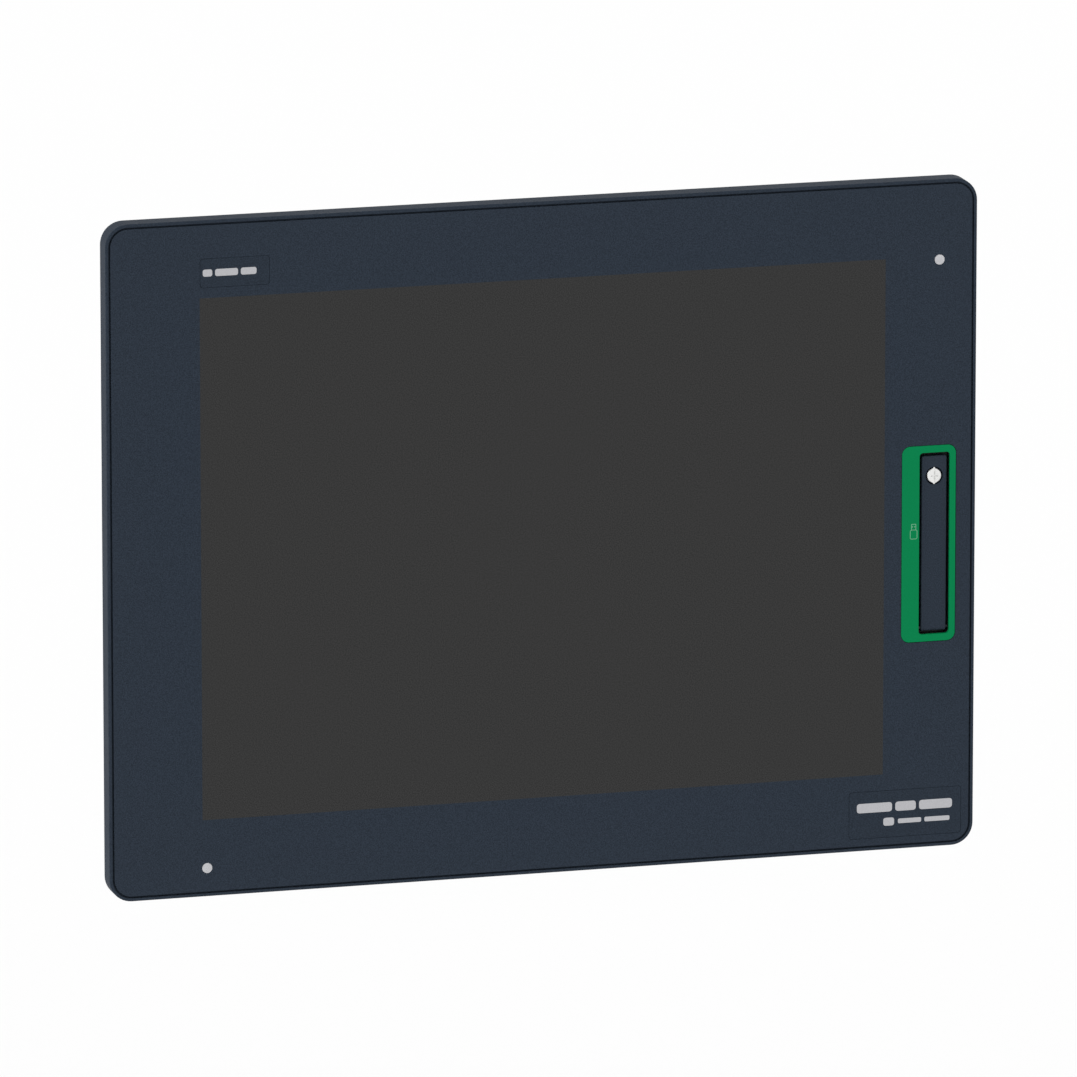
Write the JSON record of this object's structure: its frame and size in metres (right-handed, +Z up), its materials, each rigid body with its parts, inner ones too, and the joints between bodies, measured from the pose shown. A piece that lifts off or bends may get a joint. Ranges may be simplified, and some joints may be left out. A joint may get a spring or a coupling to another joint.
{
  "type": "hmi touch panel",
  "caption": "Panel-mount operator terminal: a slim dark bezel round a 4:3 touch display, hinged port cover with a captive screw, rear housing and control box with sockets.",
  "frame": {"origin": "centre of the panel cut-out, on the plane of the gasket's sealing face", "axes": "+X to the right as the user sees the screen, +Z up, front faces -Y, +Y into the cabinet"},
  "size_m": [0.315, 0.0581, 0.241],
  "materials": {
    "navy_plastic": "fine matte grain",
    "overlay_print": "fine matte printed film",
    "label_plate": "smooth matte plate",
    "screen_film": "anti-glare matte film over a dark display",
    "screen_glass": "clear touch glass",
    "black_rubber": "soft matte",
    "green_plastic": "fine matte grain",
    "black_plastic": "moulded matte",
    "clear_plastic": "milky clear, polished",
    "screw_steel": "bright plated",
    "black_steel": "black oxide",
    "label_ink": "matte pale print",
    "port_ink": "matte pale green print",
    "gold_contact": "gold-plated contact",
    "socket_steel": "tinned sheet",
    "sheet_steel": "zinc-plated sheet",
    "housing_plastic": "textured moulding",
    "lcd_glass": "dark polarised glass",
    "light_guide": "white light guide",
    "amber_flex": "amber flex circuit",
    "circuit_board": "green solder mask",
    "chip_epoxy": "moulded epoxy",
    "capacitor_can": "bright sleeve",
    "black_aluminium": "black anodised",
    "brass": "machined",
    "plug_plastic": "moulded matte green",
    "terminal_steel": "zinc plated"
  },
  "bodies": {
    "root": {"front_bezel": "navy_plastic", "overlay_film": "overlay_print", "label_plates": "label_plate", "touch_film": "screen_film", "touch_glass": "screen_glass", "panel_gasket": "black_rubber", "dust_seal": "black_rubber", "usb_frame": "green_plastic", "port_tub": "black_plastic", "ethernet_inserts": "black_plastic", "serial_inserts": "black_plastic", "rear_usb_inserts": "black_plastic", "front_usb_a_insert": "black_plastic", "front_usb_mini_insert": "black_plastic", "link_connector": "black_plastic", "card_frame": "black_plastic", "card_socket": "black_plastic", "power_socket": "black_plastic", "status_light_pipe": "clear_plastic", "light_sensor_lens": "clear_plastic", "housing_screws": "screw_steel", "box_screws": "screw_steel", "chassis_screws": "screw_steel", "board_screws": "screw_steel", "usb_hinge_pin": "black_steel", "card_door_pin": "black_steel", "front_usb_a_shell": "socket_steel", "front_usb_mini_shell": "socket_steel", "ethernet_shells": "socket_steel", "rear_usb_shells": "socket_steel", "serial_shells": "socket_steel", "lcd_frame": "socket_steel", "lcd_back_plate": "socket_steel", "backup_battery": "socket_steel", "control_box": "sheet_steel", "chassis_plate": "sheet_steel", "display_housing": "housing_plastic", "lcd_cell": "lcd_glass", "backlight_guide": "light_guide", "touch_tail": "amber_flex", "front_io_board": "circuit_board", "driver_board": "circuit_board", "control_board": "circuit_board", "status_led_board": "circuit_board", "light_sensor_board": "circuit_board", "board_chips": "chip_epoxy", "board_capacitors": "capacitor_can", "heat_sink": "black_aluminium", "cover_screw_insert": "brass", "serial_pins": "brass", "serial_posts": "brass", "hex_spacers": "brass"},
    "usb_cover": {"usb_cover": "navy_plastic", "usb_cover_seal": "black_rubber"},
    "screw_washer": {"cover_screw_washer": "screw_steel"},
    "cover_screw": {"cover_screw": "screw_steel"},
    "power_plug": {"power_plug": "plug_plastic", "power_plug_screws": "terminal_steel"},
    "card_door": {"card_door": "black_plastic"}
  },
  "joints": [
    {"name": "usb_cover_hinge", "type": "hinge", "parent": "root", "child": "usb_cover", "pos_m": [0.14255, -0.006, -0.0409], "axis": [1, 0, 0], "range_deg": [0, 110]},
    {"name": "cover_screw_travel", "type": "slide", "parent": "usb_cover", "child": "screw_washer", "axis": [0, -1, 0], "range_m": [0, 0.002]},
    {"name": "cover_screw_turn", "type": "hinge", "parent": "screw_washer", "child": "cover_screw", "pos_m": [0.14255, -0.0062, 0.014], "axis": [0, -1, 0], "range_deg": [0, 1440]},
    {"name": "power_plug_pull", "type": "slide", "parent": "root", "child": "power_plug", "axis": [0, 0, -1], "range_m": [0, 0.014]},
    {"name": "card_door_hinge", "type": "hinge", "parent": "root", "child": "card_door", "pos_m": [0.1062, 0.0412, 0.0041], "axis": [0, 1, 0], "range_deg": [0, 90]}
  ],
  "couplings": [
    {"joint": "cover_screw_turn", "follows": "cover_screw_travel", "rad_per_m": 12566}
  ]
}
